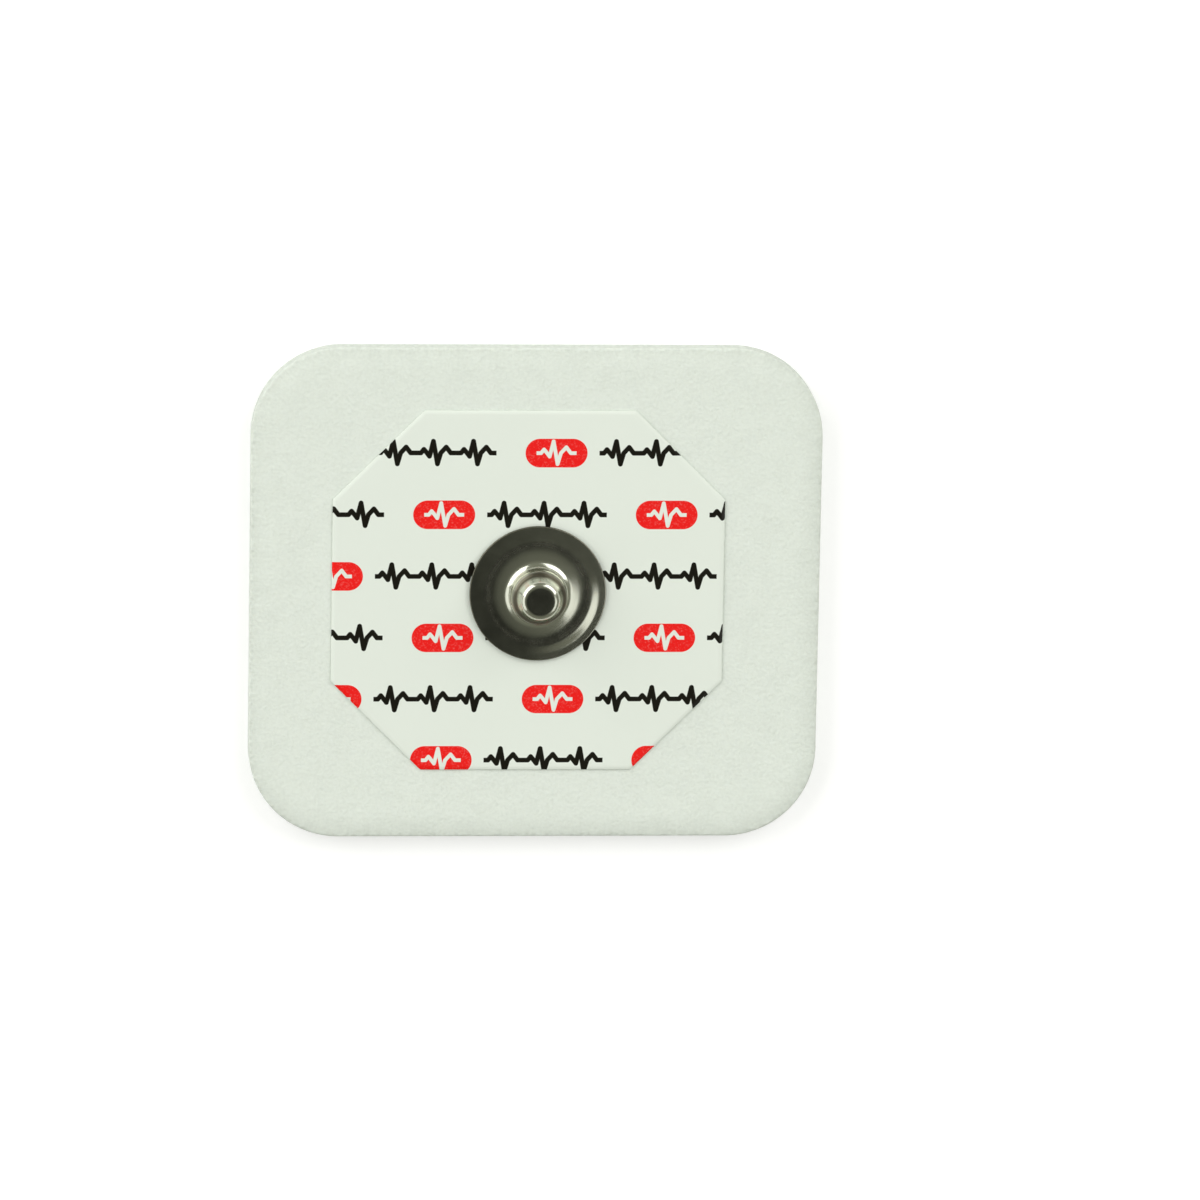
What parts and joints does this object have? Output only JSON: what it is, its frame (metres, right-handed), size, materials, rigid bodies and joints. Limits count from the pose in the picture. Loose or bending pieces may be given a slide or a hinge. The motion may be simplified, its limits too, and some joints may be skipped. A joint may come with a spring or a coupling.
{
  "type": "ecg electrode",
  "caption": "Foam-backed ECG monitoring electrode with a cover label and a pressed metal snap stud on top, lying skin side down.",
  "frame": {"origin": "middle of the pad's outline, on its skin side", "axes": "+X along the pad's long side, +Y along its short side, +Z away from the skin, up through the stud"},
  "size_m": [0.04, 0.035, 0.0048],
  "materials": {
    "foam": "soft matt closed-cell foam tape, white",
    "label_film": "thin white film with a satin face",
    "stud_metal": "polished nickel-plated sheet",
    "eyelet_coat": "dull grey silver and silver chloride coat on moulded plastic",
    "gel": "clear wet solid gel"
  },
  "bodies": {
    "root": {"foam_pad": "foam", "cover_label": "label_film", "snap_stud": "stud_metal", "sensor_eyelet": "eyelet_coat", "gel_disc": "gel"}
  },
  "joints": []
}
